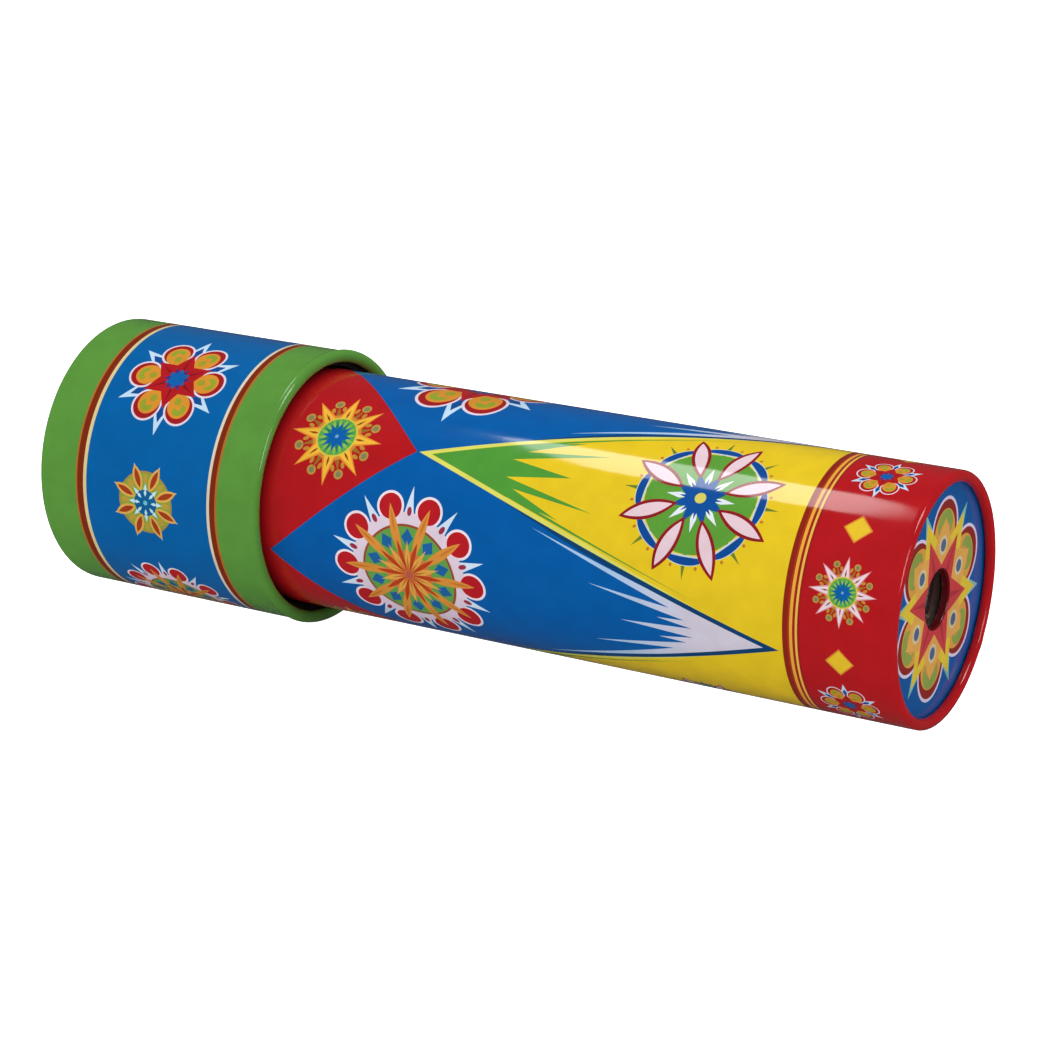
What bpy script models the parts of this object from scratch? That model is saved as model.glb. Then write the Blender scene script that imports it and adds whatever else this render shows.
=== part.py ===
"""A tinplate toy kaleidoscope: a viewing tube with three mirrors and a barrel with an object cell.

Metres, +Z up. The tube lies along X with its object end at -X and its eye end at +X. The origin is
half-way along it, level with the lowest point of the barrel. Stations, the distances named *_x, are
measured along the axis from the far end of the barrel.
"""

import math

import bmesh
import bpy
from mathutils import Matrix, Vector

# Driving dimensions
OVERALL_LENGTH = 0.187
TUBE_RADIUS = 0.024
BARREL_RADIUS = 0.02767
BARREL_LENGTH = 0.0538
SHEET = 0.0004  # thickness of the tinplate
FACETS = 32  # sides of every round piece, with a flat one underneath

EYE_CURL = 0.0009  # radius of the rolled eye rim, at the middle of the sheet
EYE_CURL_END = math.radians(-120)
EYE_HOLE_RADIUS = 0.0055
EYE_COLLAR = 0.0011  # how far the peep hole's edge is turned in behind the disc
BEAD_CURL = 0.0008  # radius of the bead on the tube's object end
BARREL_CURL = 0.0011  # radius of the barrel's rolled lip
BARREL_CURL_END = math.radians(-150)
BARREL_CURL_BULGE = 0.00035  # how far the lip stands out over the barrel
BARREL_CURL_RAMP = 0.0009
BARREL_CORNER = 0.001  # rounding of the barrel's far edge, at the middle of the sheet
FLANGE_WIDTH = 0.0027  # how far the barrel's far end is turned in

WINDOW = 0.001  # thickness of the clear discs
END_WINDOW = 0.0012
EYE_BAFFLE = 0.0015
EYE_BAFFLE_HOLE = 0.007
OBJECT_BAFFLE = 0.001
WINDOW_RING = 0.0008
WINDOW_RING_WIDTH = 0.0014
CELL_DEPTH = 0.008
CELL_WALL = 0.0009
CLIP_WIRE = 0.0004  # radius of the spring wire
CLIP_OPENING = math.radians(24)
MIRROR = 0.0016
TAPE = 0.00025
TAPE_WIDTH = 0.012
TAPE_INSET = 0.010  # from each end of the mirrors to its tape
CHIP = 0.0021  # thickness of a flat chip
BEAD_RADIUS = 0.00115
ROD_RADIUS = 0.001

GAP = 0.0003  # between pieces that touch
EDGE_CLEARANCE = 0.0004  # round a disc in its shell
RUNNING_CLEARANCE = 0.0005  # between the guide sleeve and the tube
END_PLAY = 0.0006  # between the tube's bead and the window clip

# Radii
tube_wall = TUBE_RADIUS - SHEET / 2
tube_bore = TUBE_RADIUS - SHEET
tube_disc = tube_bore - EDGE_CLEARANCE
barrel_wall = BARREL_RADIUS - SHEET / 2
barrel_disc = BARREL_RADIUS - SHEET - EDGE_CLEARANCE
cell_bore = barrel_disc - CELL_WALL
lip_centre = barrel_wall + BARREL_CURL_BULGE - BARREL_CURL
lip_radius = barrel_wall + BARREL_CURL_BULGE + SHEET / 2
flat_share = math.cos(math.pi / FACETS)  # a facet's distance from the axis, over its corners'
axis_height = lip_radius * flat_share

# Stations, from the barrel's far end to the eye
end_window_x = SHEET + GAP
cell_x = end_window_x + END_WINDOW + GAP
cell_window_x = cell_x + CELL_DEPTH + GAP
clip_x = cell_window_x + WINDOW + GAP + CLIP_WIRE
tube_x = clip_x + CLIP_WIRE + END_PLAY
bead_x = tube_x + SHEET / 2 + BEAD_CURL
sleeve_x = bead_x + BEAD_CURL + SHEET / 2 + GAP
lip_x = BARREL_LENGTH - SHEET / 2 - BARREL_CURL
sleeve_end_x = lip_x - BARREL_CURL - SHEET / 2 - GAP
tube_window_x = tube_x + WINDOW_RING + GAP
object_baffle_x = tube_window_x + WINDOW + GAP
mirror_x = object_baffle_x + OBJECT_BAFFLE + GAP
eye_curl_x = OVERALL_LENGTH - SHEET / 2 - EYE_CURL
eye_curl_back = min((EYE_CURL + side) * math.cos(EYE_CURL_END) for side in (-SHEET / 2, SHEET / 2))
eye_disc_x = eye_curl_x + eye_curl_back - GAP - SHEET
eye_window_x = eye_disc_x - EYE_COLLAR - GAP - WINDOW
eye_baffle_x = eye_window_x - GAP - EYE_BAFFLE
mirror_end_x = eye_baffle_x - GAP

# The mirrors: the largest triangle that leaves room for its tape in the tube
mirror_corner = tube_bore * flat_share - GAP - (GAP + TAPE) / math.cos(math.radians(30))
mirror_half_b = MIRROR - math.sqrt(3) * GAP
mirror_inradius = (
    math.sqrt(mirror_half_b**2 - 4 * (MIRROR**2 + GAP**2 - mirror_corner**2)) - mirror_half_b
) / 4
mirror_width = 2 * (math.sqrt(3) * mirror_inradius - 2 * GAP / math.sqrt(3))

COLOURS = {
    "printed_tube": ((0.02, 0.11, 0.36), 0.25, 0.0),
    "printed_barrel": ((0.02, 0.13, 0.40), 0.25, 0.0),
    "printed_disc": ((0.66, 0.27, 0.04), 0.3, 0.0),
    "clear_disc": ((0.9, 0.93, 0.94), 0.05, 0.0),
    "frosted_disc": ((0.86, 0.87, 0.86), 0.6, 0.0),
    "mirror_glass": ((0.85, 0.86, 0.88), 0.03, 1.0),
    "paper_tape": ((0.62, 0.5, 0.33), 0.8, 0.0),
    "grey_card": ((0.36, 0.31, 0.25), 0.9, 0.0),
    "spring_wire": ((0.55, 0.55, 0.57), 0.3, 1.0),
    "chip_red": ((0.65, 0.02, 0.03), 0.1, 0.0),
    "chip_blue": ((0.02, 0.1, 0.6), 0.1, 0.0),
    "chip_green": ((0.03, 0.42, 0.08), 0.1, 0.0),
    "chip_yellow": ((0.8, 0.55, 0.02), 0.1, 0.0),
    "chip_violet": ((0.3, 0.04, 0.45), 0.1, 0.0),
    "chip_amber": ((0.75, 0.22, 0.01), 0.1, 0.0),
}

# Each layer of the heap: the row on the wall, then the row on top. (outline, its radius, colour)
CHIP_LAYERS = {
    "outer": (
        [("triangle", 0.0036, "red"), ("disc", 0.0026, "blue"),
         ("square", 0.0032, "yellow"), ("hexagon", 0.0027, "green")],
        [("star", 0.0034, "violet"), ("bead", BEAD_RADIUS, "amber")],
    ),
    "middle": (
        [("hexagon", 0.0031, "amber"), ("rod", 0.0028, "red"),
         ("triangle", 0.0034, "green"), ("square", 0.0027, "blue")],
        [("bead", BEAD_RADIUS, "yellow"), ("disc", 0.0028, "violet")],
    ),
    "inner": (
        [("star", 0.0034, "yellow"), ("bead", BEAD_RADIUS, "red"),
         ("square", 0.0033, "violet"), ("disc", 0.0029, "green")],
        [("triangle", 0.0032, "blue"), ("rod", 0.0026, "amber")],
    ),
}
OUTLINE_SIDES = {"triangle": 3, "square": 4, "hexagon": 6, "disc": 16}
STAR_POINTS = 5
STAR_WAIST = 0.48  # inner radius of a star, over its outer radius


def clear_scene():
    for obj in list(bpy.data.objects):
        bpy.data.objects.remove(obj)


def material(name):
    """A Principled material in the piece's colour, made once for each name."""
    found = bpy.data.materials.get(name)
    if found:
        return found
    colour, roughness, metallic = COLOURS[name]
    made = bpy.data.materials.new(name)
    made.use_nodes = True
    shader = made.node_tree.nodes["Principled BSDF"]
    shader.inputs["Base Color"].default_value = (*colour, 1)
    shader.inputs["Roughness"].default_value = roughness
    shader.inputs["Metallic"].default_value = metallic
    made.diffuse_color = (*colour, 1)
    return made


def axis_empty(name):
    """An empty on the optical axis, at the barrel's far end."""
    empty = bpy.data.objects.new(name, None)
    empty.location = (-OVERALL_LENGTH / 2, 0, axis_height)
    bpy.context.scene.collection.objects.link(empty)
    return empty


def add_piece(name, bm, finish, parent, location=(0, 0, 0), turn=0.0):
    """Makes the mesh an object on its parent's axis, turned about that axis."""
    bmesh.ops.recalc_face_normals(bm, faces=bm.faces)
    mesh = bpy.data.meshes.new(name)
    bm.to_mesh(mesh)
    bm.free()
    mesh.materials.append(material(finish))
    mesh.shade_smooth()
    mesh.set_sharp_from_angle(angle=math.radians(30))
    piece = bpy.data.objects.new(name, mesh)
    piece.parent = parent
    piece.location = location
    piece.rotation_euler = (turn, 0, 0)
    bpy.context.scene.collection.objects.link(piece)
    return piece


def arc(centre, radius, start, end, steps):
    """Points (x, r) along an arc, from start to end in radians."""
    return [
        (centre[0] + radius * math.cos(start + (end - start) * i / steps),
         centre[1] + radius * math.sin(start + (end - start) * i / steps))
        for i in range(steps + 1)
    ]


def sheet_outline(path, thickness):
    """The closed outline of a bent sheet whose middle follows the path."""
    points = [Vector(p) for p in path]
    sides = ([], [])
    for i, point in enumerate(points):
        before = points[max(i - 1, 0)]
        after = points[min(i + 1, len(points) - 1)]
        incoming = (point - before).normalized() if i else (after - point).normalized()
        outgoing = (after - point).normalized() if i < len(points) - 1 else incoming
        normal = Vector((-incoming.y, incoming.x)) + Vector((-outgoing.y, outgoing.x))
        normal.normalize()
        reach = thickness / 2 / normal.dot(Vector((-outgoing.y, outgoing.x)))
        sides[0].append(point + normal * reach)
        sides[1].append(point - normal * reach)
    return sides[0] + sides[1][::-1]


def ring_outline(start_x, end_x, inner, outer):
    return [(start_x, inner), (start_x, outer), (end_x, outer), (end_x, inner)]


def turned(outline):
    """A closed outline (x, r) spun round the X axis, with a facet flat side down."""
    bm = bmesh.new()
    corners = [bm.verts.new((x, 0, -r)) for x, r in outline]
    edges = [bm.edges.new((a, b)) for a, b in zip(corners, corners[1:] + corners[:1])]
    half_facet = Matrix.Rotation(math.pi / FACETS, 3, "X")
    bmesh.ops.rotate(bm, cent=(0, 0, 0), matrix=half_facet, verts=corners)
    bmesh.ops.spin(bm, geom=corners + edges, cent=(0, 0, 0), axis=(1, 0, 0),
                   angle=2 * math.pi, steps=FACETS, use_merge=True)
    bmesh.ops.remove_doubles(bm, verts=bm.verts, dist=1e-6)
    return bm


def disc(start_x, thickness, radius):
    """A round plate across the axis, with a facet flat side down."""
    bm = bmesh.new()
    bmesh.ops.create_cone(bm, cap_ends=True, segments=FACETS,
                          radius1=radius, radius2=radius, depth=thickness)
    bmesh.ops.rotate(bm, cent=(0, 0, 0), verts=bm.verts, matrix=Matrix.Rotation(math.pi / 2, 3, "Y"))
    bmesh.ops.translate(bm, verts=bm.verts, vec=(start_x + thickness / 2, 0, 0))
    lowest = min(bm.verts, key=lambda v: (round(v.co.z, 7), v.co.y))
    off_flat = math.atan2(lowest.co.y, -lowest.co.z)
    if abs(off_flat) < math.pi / FACETS / 2:
        bmesh.ops.rotate(bm, cent=(0, 0, 0), verts=bm.verts,
                         matrix=Matrix.Rotation(math.pi / FACETS, 3, "X"))
    return bm


def plate(outline, start_x, thickness):
    """A flat outline (y, z) drawn out along the axis."""
    bm = bmesh.new()
    face = bm.faces.new([bm.verts.new((start_x, y, z)) for y, z in outline])
    drawn = bmesh.ops.extrude_face_region(bm, geom=[face])
    moved = [v for v in drawn["geom"] if isinstance(v, bmesh.types.BMVert)]
    bmesh.ops.translate(bm, verts=moved, vec=(thickness, 0, 0))
    return bm


def polygon(sides, radius):
    """Corners (y, z) of a regular polygon that lies on one of its sides."""
    first = math.pi + math.pi / sides
    return [
        (radius * math.sin(first + 2 * math.pi * i / sides),
         radius * math.cos(first + 2 * math.pi * i / sides))
        for i in range(sides)
    ]


def star(points, radius):
    """Corners (y, z) of a star that stands on two of its points."""
    corners = []
    for i in range(2 * points):
        reach = radius * STAR_WAIST if i % 2 else radius
        turn = math.pi * i / points
        corners.append((reach * math.sin(turn), reach * math.cos(turn)))
    return corners


def cut(piece, cutter):
    """Takes the hidden cutter out of the piece."""
    cutter.hide_render = True
    cutter.display_type = "WIRE"
    boolean = piece.modifiers.new("opening", "BOOLEAN")
    boolean.operation = "DIFFERENCE"
    boolean.solver = "EXACT"
    boolean.object = cutter


def make_tube(axis):
    """The tinplate tube: a bead round its object end, a rim rolled inward at the eye."""
    bead_centre = (bead_x, tube_wall + BEAD_CURL)
    rim_centre = (eye_curl_x, tube_wall - EYE_CURL)
    path = arc(bead_centre, BEAD_CURL, math.pi / 2, 3 * math.pi / 2, 6)
    path += arc(rim_centre, EYE_CURL, math.pi / 2, EYE_CURL_END, 8)
    add_piece("main_tube", turned(sheet_outline(path, SHEET)), "printed_tube", axis)


def make_eye_end(axis):
    """The printed disc with the peep hole, the clear disc behind it and the card washer."""
    collar_end, face, front = eye_disc_x - EYE_COLLAR, eye_disc_x, eye_disc_x + SHEET
    collar_outside = EYE_HOLE_RADIUS + SHEET
    outline = [(collar_end, EYE_HOLE_RADIUS), (front, EYE_HOLE_RADIUS), (front, tube_disc),
               (face, tube_disc), (face, collar_outside), (collar_end, collar_outside)]
    add_piece("eye_disc", turned(outline), "printed_disc", axis)
    add_piece("eye_window", disc(eye_window_x, WINDOW, tube_disc), "clear_disc", axis)
    outline = ring_outline(eye_baffle_x, eye_baffle_x + EYE_BAFFLE, EYE_BAFFLE_HOLE, tube_disc)
    add_piece("eye_baffle", turned(outline), "grey_card", axis)


def make_mirrors(axis):
    """Three strips in a triangle, one of them flat at the bottom."""
    length = mirror_end_x - mirror_x
    for i, side in enumerate(("bottom", "left", "right")):
        bm = bmesh.new()
        bmesh.ops.create_cube(bm, size=1)
        bmesh.ops.scale(bm, verts=bm.verts, vec=(length, mirror_width, MIRROR))
        place = (mirror_x + length / 2, 0, -mirror_inradius - MIRROR / 2)
        bmesh.ops.translate(bm, verts=bm.verts, vec=place)
        add_piece(f"mirror_{side}", bm, "mirror_glass", axis, turn=math.radians(120 * i))


def tape_outline(offset):
    """The six corners of a band wrapped round the mirrors, this far out from them."""
    long_side = mirror_inradius + MIRROR + offset
    cut_corner = (mirror_inradius + MIRROR) / 2 + mirror_width / 2 * math.sin(math.radians(60)) + offset
    corners = []
    for i in range(6):
        here = math.radians(60 * i)
        near, far = (long_side, cut_corner) if i % 2 == 0 else (cut_corner, long_side)
        along = (far - near * math.cos(math.radians(60))) / math.sin(math.radians(60))
        corners.append((near * math.sin(here) + along * math.cos(here),
                        -near * math.cos(here) + along * math.sin(here)))
    return corners


def make_tapes(axis):
    stations = {"object": mirror_x + TAPE_INSET, "eye": mirror_end_x - TAPE_INSET - TAPE_WIDTH}
    for end, start_x in stations.items():
        bm = bmesh.new()
        rings = [
            [bm.verts.new((x, y, z)) for y, z in tape_outline(offset)]
            for x, offset in ((start_x, GAP), (start_x, GAP + TAPE),
                              (start_x + TAPE_WIDTH, GAP + TAPE), (start_x + TAPE_WIDTH, GAP))
        ]
        for ring, following in zip(rings, rings[1:] + rings[:1]):
            for i in range(6):
                j = (i + 1) % 6
                bm.faces.new((ring[i], ring[j], following[j], following[i]))
        add_piece(f"mirror_tape_{end}", bm, "paper_tape", axis)


def make_object_end(axis):
    """The card washer with a triangular opening, the clear disc and its ring."""
    baffle = add_piece("object_baffle", disc(object_baffle_x, OBJECT_BAFFLE, tube_disc), "grey_card", axis)
    opening = polygon(3, 2 * mirror_inradius - 2 * GAP)
    cutter = add_piece("baffle_opening", plate(opening, object_baffle_x - GAP, OBJECT_BAFFLE + 2 * GAP),
                       "grey_card", axis)
    cut(baffle, cutter)
    add_piece("tube_window", disc(tube_window_x, WINDOW, tube_disc), "clear_disc", axis)
    outline = ring_outline(tube_x, tube_x + WINDOW_RING, tube_disc - WINDOW_RING_WIDTH, tube_disc)
    add_piece("tube_window_ring", turned(outline), "grey_card", axis)


def make_barrel(axis):
    """The tinplate barrel: far end flanged in, open end rolled in over the guide sleeve."""
    flange_x = SHEET / 2
    path = [(flange_x, barrel_wall - FLANGE_WIDTH)]
    corner_centre = (flange_x + BARREL_CORNER, barrel_wall - BARREL_CORNER)
    path += arc(corner_centre, BARREL_CORNER, math.pi, math.pi / 2, 4)
    path.append((lip_x - BARREL_CURL_RAMP, barrel_wall))
    path += arc((lip_x, lip_centre), BARREL_CURL, math.pi / 2, BARREL_CURL_END, 10)
    add_piece("barrel_shell", turned(sheet_outline(path, SHEET)), "printed_barrel", axis)
    outline = ring_outline(sleeve_x, sleeve_end_x, TUBE_RADIUS + RUNNING_CLEARANCE, barrel_disc)
    add_piece("guide_sleeve", turned(outline), "grey_card", axis)


def make_cell(axis):
    """The object cell: frosted disc, spacer ring, clear disc and spring ring."""
    add_piece("end_window", disc(end_window_x, END_WINDOW, barrel_disc), "frosted_disc", axis)
    outline = ring_outline(cell_x, cell_x + CELL_DEPTH, cell_bore, barrel_disc)
    add_piece("cell_ring", turned(outline), "grey_card", axis)
    add_piece("cell_window", disc(cell_window_x, WINDOW, barrel_disc), "clear_disc", axis)
    make_clip(axis)


def make_clip(axis):
    """A ring of round wire with its ends apart."""
    bm = bmesh.new()
    wire = bmesh.ops.create_circle(bm, cap_ends=True, segments=8, radius=CLIP_WIRE)
    ring_radius = barrel_disc - CLIP_WIRE
    bmesh.ops.rotate(bm, cent=(0, 0, 0), verts=wire["verts"], matrix=Matrix.Rotation(math.pi / 2, 3, "X"))
    bmesh.ops.translate(bm, verts=wire["verts"], vec=(clip_x, 0, ring_radius))
    bmesh.ops.rotate(bm, cent=(0, 0, 0), verts=wire["verts"],
                     matrix=Matrix.Rotation(CLIP_OPENING / 2, 3, "X"))
    bmesh.ops.spin(bm, geom=bm.faces[:], cent=(0, 0, 0), axis=(1, 0, 0),
                   angle=2 * math.pi - CLIP_OPENING, steps=FACETS - 2)
    add_piece("window_clip", bm, "spring_wire", axis)


def chip_outline(kind, radius):
    return star(STAR_POINTS, radius) if kind == "star" else polygon(OUTLINE_SIDES[kind], radius)


def rod_length(radius):
    """Length of a rod that turns in a circle of this radius."""
    return 2 * math.sqrt(radius**2 - ROD_RADIUS**2)


def chip_seat(kind, radius):
    """Half the width of the side that a loose piece lies on, and how far that is below its middle."""
    if kind == "bead":
        return 0, radius
    if kind == "rod":
        return rod_length(radius) / 2, ROD_RADIUS
    outline = chip_outline(kind, radius)
    lowest = min(z for _, z in outline)
    return max(y for y, z in outline if z - lowest < GAP), -lowest


def chip_shape(kind, radius):
    """One loose piece, centred on its own middle."""
    if kind == "bead":
        bm = bmesh.new()
        bmesh.ops.create_icosphere(bm, subdivisions=2, radius=radius)
        return bm
    if kind == "rod":
        bm = bmesh.new()
        bmesh.ops.create_cone(bm, cap_ends=True, segments=12,
                              radius1=ROD_RADIUS, radius2=ROD_RADIUS, depth=rod_length(radius))
        bmesh.ops.rotate(bm, cent=(0, 0, 0), verts=bm.verts, matrix=Matrix.Rotation(math.pi / 2, 3, "X"))
        return bm
    return plate(chip_outline(kind, radius), -CHIP / 2, CHIP)


def row_angles(row, reaches):
    """Angles from straight down that set round neighbours just apart, the row as a whole centred."""
    angles = [0.0]
    for i in range(1, len(row)):
        apart = row[i - 1][1] + row[i][1] + GAP
        a, b = reaches[i - 1], reaches[i]
        angles.append(angles[-1] + math.acos((a * a + b * b - apart * apart) / (2 * a * b)))
    middle = (angles[0] + angles[-1]) / 2
    return [angle - middle for angle in angles]


def make_chips(axes):
    """Three layers of loose pieces, each heaped at the bottom of the cell in two rows."""
    slot = CELL_DEPTH / len(CHIP_LAYERS)
    for depth, (layer, rows) in enumerate(CHIP_LAYERS.items()):
        outside = cell_bore * flat_share - GAP
        for row in rows:
            seats = [chip_seat(kind, radius) for kind, radius, _ in row]
            reaches = [math.sqrt(outside**2 - half_width**2) - depth_below for half_width, depth_below in seats]
            for (kind, radius, tone), reach, angle in zip(row, reaches, row_angles(row, reaches)):
                place = (cell_x + slot * (depth + 0.5), reach * math.sin(angle), -reach * math.cos(angle))
                add_piece(f"chip_{layer}_{tone}_{kind}", chip_shape(kind, radius), f"chip_{tone}",
                          axes[layer], location=place, turn=angle)
            outside -= 2 * max(radius for _, radius, _ in row) + GAP


def main():
    clear_scene()
    tube_axis = axis_empty("tube_axis")
    barrel_axis = axis_empty("barrel_axis")
    chip_axes = {layer: axis_empty(f"chips_{layer}_axis") for layer in CHIP_LAYERS}
    make_tube(tube_axis)
    make_eye_end(tube_axis)
    make_mirrors(tube_axis)
    make_tapes(tube_axis)
    make_object_end(tube_axis)
    make_barrel(barrel_axis)
    make_cell(barrel_axis)
    make_chips(chip_axes)


main()
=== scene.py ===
"""A tinplate toy kaleidoscope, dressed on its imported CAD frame.

Metres, +Z up, the tube along X with its eye end at +X. Stations are measured in millimetres along
the axis from the barrel's far end, and turns in degrees round it: 0 on top, 90 towards -Y.
"""

import math
from functools import cache, partial

import bpy
import numpy as np
from bpy.props import FloatProperty, FloatVectorProperty, IntProperty, PointerProperty
from bpy.types import NodeSocket, Operator, Panel, PropertyGroup
from mathutils import Matrix, Vector


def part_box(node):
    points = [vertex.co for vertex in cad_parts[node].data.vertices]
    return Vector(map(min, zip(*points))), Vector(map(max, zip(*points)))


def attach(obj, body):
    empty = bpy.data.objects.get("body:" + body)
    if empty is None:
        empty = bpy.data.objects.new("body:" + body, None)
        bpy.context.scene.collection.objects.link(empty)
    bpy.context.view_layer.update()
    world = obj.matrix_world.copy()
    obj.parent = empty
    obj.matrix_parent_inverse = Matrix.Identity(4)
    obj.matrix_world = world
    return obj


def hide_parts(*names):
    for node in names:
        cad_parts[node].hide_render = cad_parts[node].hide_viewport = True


bl_info = {
    "name": "Tinplate Kaleidoscope",
    "version": (1, 0, 0),
    "blender": (4, 5, 0),
    "location": "3D View > Sidebar > Kaleidoscope",
    "description": "Makes a lithographed tinplate kaleidoscope round its CAD frame",
    "category": "Object",
}

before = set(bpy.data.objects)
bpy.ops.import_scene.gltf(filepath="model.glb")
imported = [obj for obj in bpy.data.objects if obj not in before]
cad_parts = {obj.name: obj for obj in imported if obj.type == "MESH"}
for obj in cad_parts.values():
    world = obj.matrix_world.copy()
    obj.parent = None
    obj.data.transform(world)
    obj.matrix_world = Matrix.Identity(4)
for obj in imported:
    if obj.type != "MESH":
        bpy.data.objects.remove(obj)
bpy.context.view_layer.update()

MM = 0.001
FLAT_SHARE = math.cos(math.pi / 32)  # the frame's round pieces have 32 sides, with a flat on top
FAR_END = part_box("barrel_shell")[0].x
AXIS = sum(corner.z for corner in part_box("main_tube")) / 2
TOUCHING = 1e-9  # points nearer than this are one point
SUPPORT = 1.7  # how far from a round corner the next point stands, over the corner's radius
SUPPORT_INSET = 0.4 * MM  # the same at the ends of a straight run
SHARP = math.radians(50)
MAP_EDGE = 0.002  # bare margin of a piece's map
WHITE = (1.0, 1.0, 1.0, 1.0)


# ---- settings


def linear(colour):
    """An sRGB hex colour as linear red, green, blue and alpha."""
    srgb = np.array([int(colour[i : i + 2], 16) for i in (1, 3, 5)]) / 255
    flat = np.where(srgb <= 0.04045, srgb / 12.92, ((srgb + 0.055) / 1.055) ** 2.4)
    return (*flat.tolist(), 1.0)


def size(name, millimetres, about):
    """A length that a user may change, given here in millimetres."""
    return FloatProperty(name=name, description=about, default=millimetres * MM, min=0.0,
                         precision=5, subtype="DISTANCE", unit="LENGTH")


def ink(name, colour, about):
    """A printing ink that a user may change."""
    return FloatVectorProperty(name=name, description=about, default=linear(colour), size=4,
                               min=0.0, max=1.0, subtype="COLOR")


def angle(name, degrees, about):
    """A turn that a user may change, given here in degrees."""
    return FloatProperty(name=name, description=about, default=math.radians(degrees),
                         subtype="ANGLE", unit="ROTATION")


def level(name, value, about):
    """A lamp's strength that a user may change."""
    return FloatProperty(name=name, description=about, default=value, min=0.0)


class TubeSettings(PropertyGroup):
    radius: size("Radius", 24.0, "Outer radius of the viewing tube")
    sheet: size("Sheet", 0.4, "Thickness of the tinplate")
    eye_curl: size("Eye curl", 0.9, "Radius of the rim rolled inward at the eye, at mid-sheet")
    eye_curl_end: angle("Eye curl end", -120, "How far the eye rim is rolled")
    bead_curl: size("Bead curl", 0.8, "Radius of the bead on the object end")
    seam_height: size("Seam height", 0.18, "How far the soldered side seam stands out")
    seam_width: size("Seam width", 3.6, "Width of the soldered side seam")
    seam_turn: angle("Seam turn", -128, "Where the side seam lies, from the top towards -Y")
    eye_hole: size("Eye hole", 5.5, "Radius of the peep hole")
    eye_bend: size("Eye hole bend", 0.35, "Radius of the peep hole's turned-in edge, at mid-sheet")
    eye_baffle_hole: size("Eye washer hole", 7.0, "Radius of the hole in the card washer")
    window_ring_width: size("Window ring width", 1.4, "Width of the ring on the tube's window")
    segments: IntProperty(name="Segments", description="Steps round each turned piece",
                          default=192, min=32)
    blue: ink("Blue", "#005AA5", "Large fields of the tube")
    yellow: ink("Yellow", "#E6C521", "Pointed fields of the tube")
    red: ink("Red", "#B2161C", "Pointed fields and eye band of the tube")
    green: ink("Green", "#4F9838", "Flames on the yellow fields")


class BarrelSettings(PropertyGroup):
    radius: size("Radius", 27.67, "Outer radius of the turning barrel")
    corner: size("Corner", 1.0, "Rounding of the far edge, at mid-sheet")
    flange: size("Flange", 2.7, "How far the far end is turned in")
    lip_curl: size("Lip curl", 1.1, "Radius of the rolled lip, at mid-sheet")
    lip_curl_end: angle("Lip curl end", -150, "How far the lip is rolled")
    lip_bulge: size("Lip bulge", 0.35, "How far the lip stands out over the barrel")
    lip_ramp: size("Lip ramp", 0.9, "Length over which the lip rises")
    sleeve_play: size("Sleeve play", 0.5, "Gap between the guide sleeve and the tube")
    cell_wall: size("Cell wall", 0.9, "Thickness of the object cell's ring")
    clip_opening: angle("Clip opening", 24, "Gap between the ends of the spring ring")
    blue: ink("Blue", "#005FA3", "Field of the barrel")
    green: ink("Green", "#5A943C", "Bands at both ends of the barrel")


class StageSettings(PropertyGroup):
    floor_size: size("Floor size", 8000.0, "Side of the square table")
    room_light: level("Room light", 0.96, "Strength of the room's even light")
    room_gloss: level("Room in the gloss", 0.065, "Strength of the room in reflections")
    softbox: level("Softbox", 6.8, "Brightness of the lamp overhead")
    side_panels: level("Side panels", 8.5, "Brightness of the lamps beyond the eye end")
    top_light: level("Top light", 0.6, "Strength of the soft light from above")
    lens: FloatProperty(name="Lens", description="Focal length on a 36 mm sensor", default=99.93,
                        min=1.0, subtype="DISTANCE_CAMERA")


SETTINGS = {
    "kaleidoscope_tube": TubeSettings,
    "kaleidoscope_barrel": BarrelSettings,
    "kaleidoscope_stage": StageSettings,
}


# ---- shapes


def placed(name, data):
    """A new object of this mesh, lamp or camera, in the scene."""
    thing = bpy.data.objects.new(name, data)
    bpy.context.scene.collection.objects.link(thing)
    return thing


def round_piece(node):
    """A turned CAD node's ends, in metres from the barrel's far end, and its outer radius."""
    low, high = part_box(node)
    return low.x - FAR_END, high.x - FAR_END, (high.z - low.z) / 2 / FLAT_SHARE


def arc(centre, radius, start, end, steps):
    """Points (station, radius) at centre + radius (cos t, sin t), t even from start to end."""
    t = np.linspace(start, end, steps + 1)
    return np.stack([centre[0] + radius * np.cos(t), centre[1] + radius * np.sin(t)], axis=1)


def straight(start, end, radius):
    """Points just inside the two ends of a straight run, which keep its shading straight."""
    return np.array([(start + SUPPORT_INSET, radius), (end - SUPPORT_INSET, radius)])


def both_sides(path, thickness):
    """The two sides of a bent sheet: each path point moved half the thickness along its mitre.

    The mitre is the mean of the normals of the two runs that meet there, lengthened so that the
    sheet keeps its thickness on both.
    """
    runs = np.diff(path, axis=0)
    runs /= np.linalg.norm(runs, axis=1, keepdims=True)
    normals = np.stack([-runs[:, 1], runs[:, 0]], axis=1)
    before = np.vstack([normals[:1], normals])
    after = np.vstack([normals, normals[-1:]])
    mitre = before + after
    mitre /= np.linalg.norm(mitre, axis=1, keepdims=True)
    reach = thickness / 2 / (mitre * after).sum(axis=1, keepdims=True)
    return path + mitre * reach, path - mitre * reach


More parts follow.
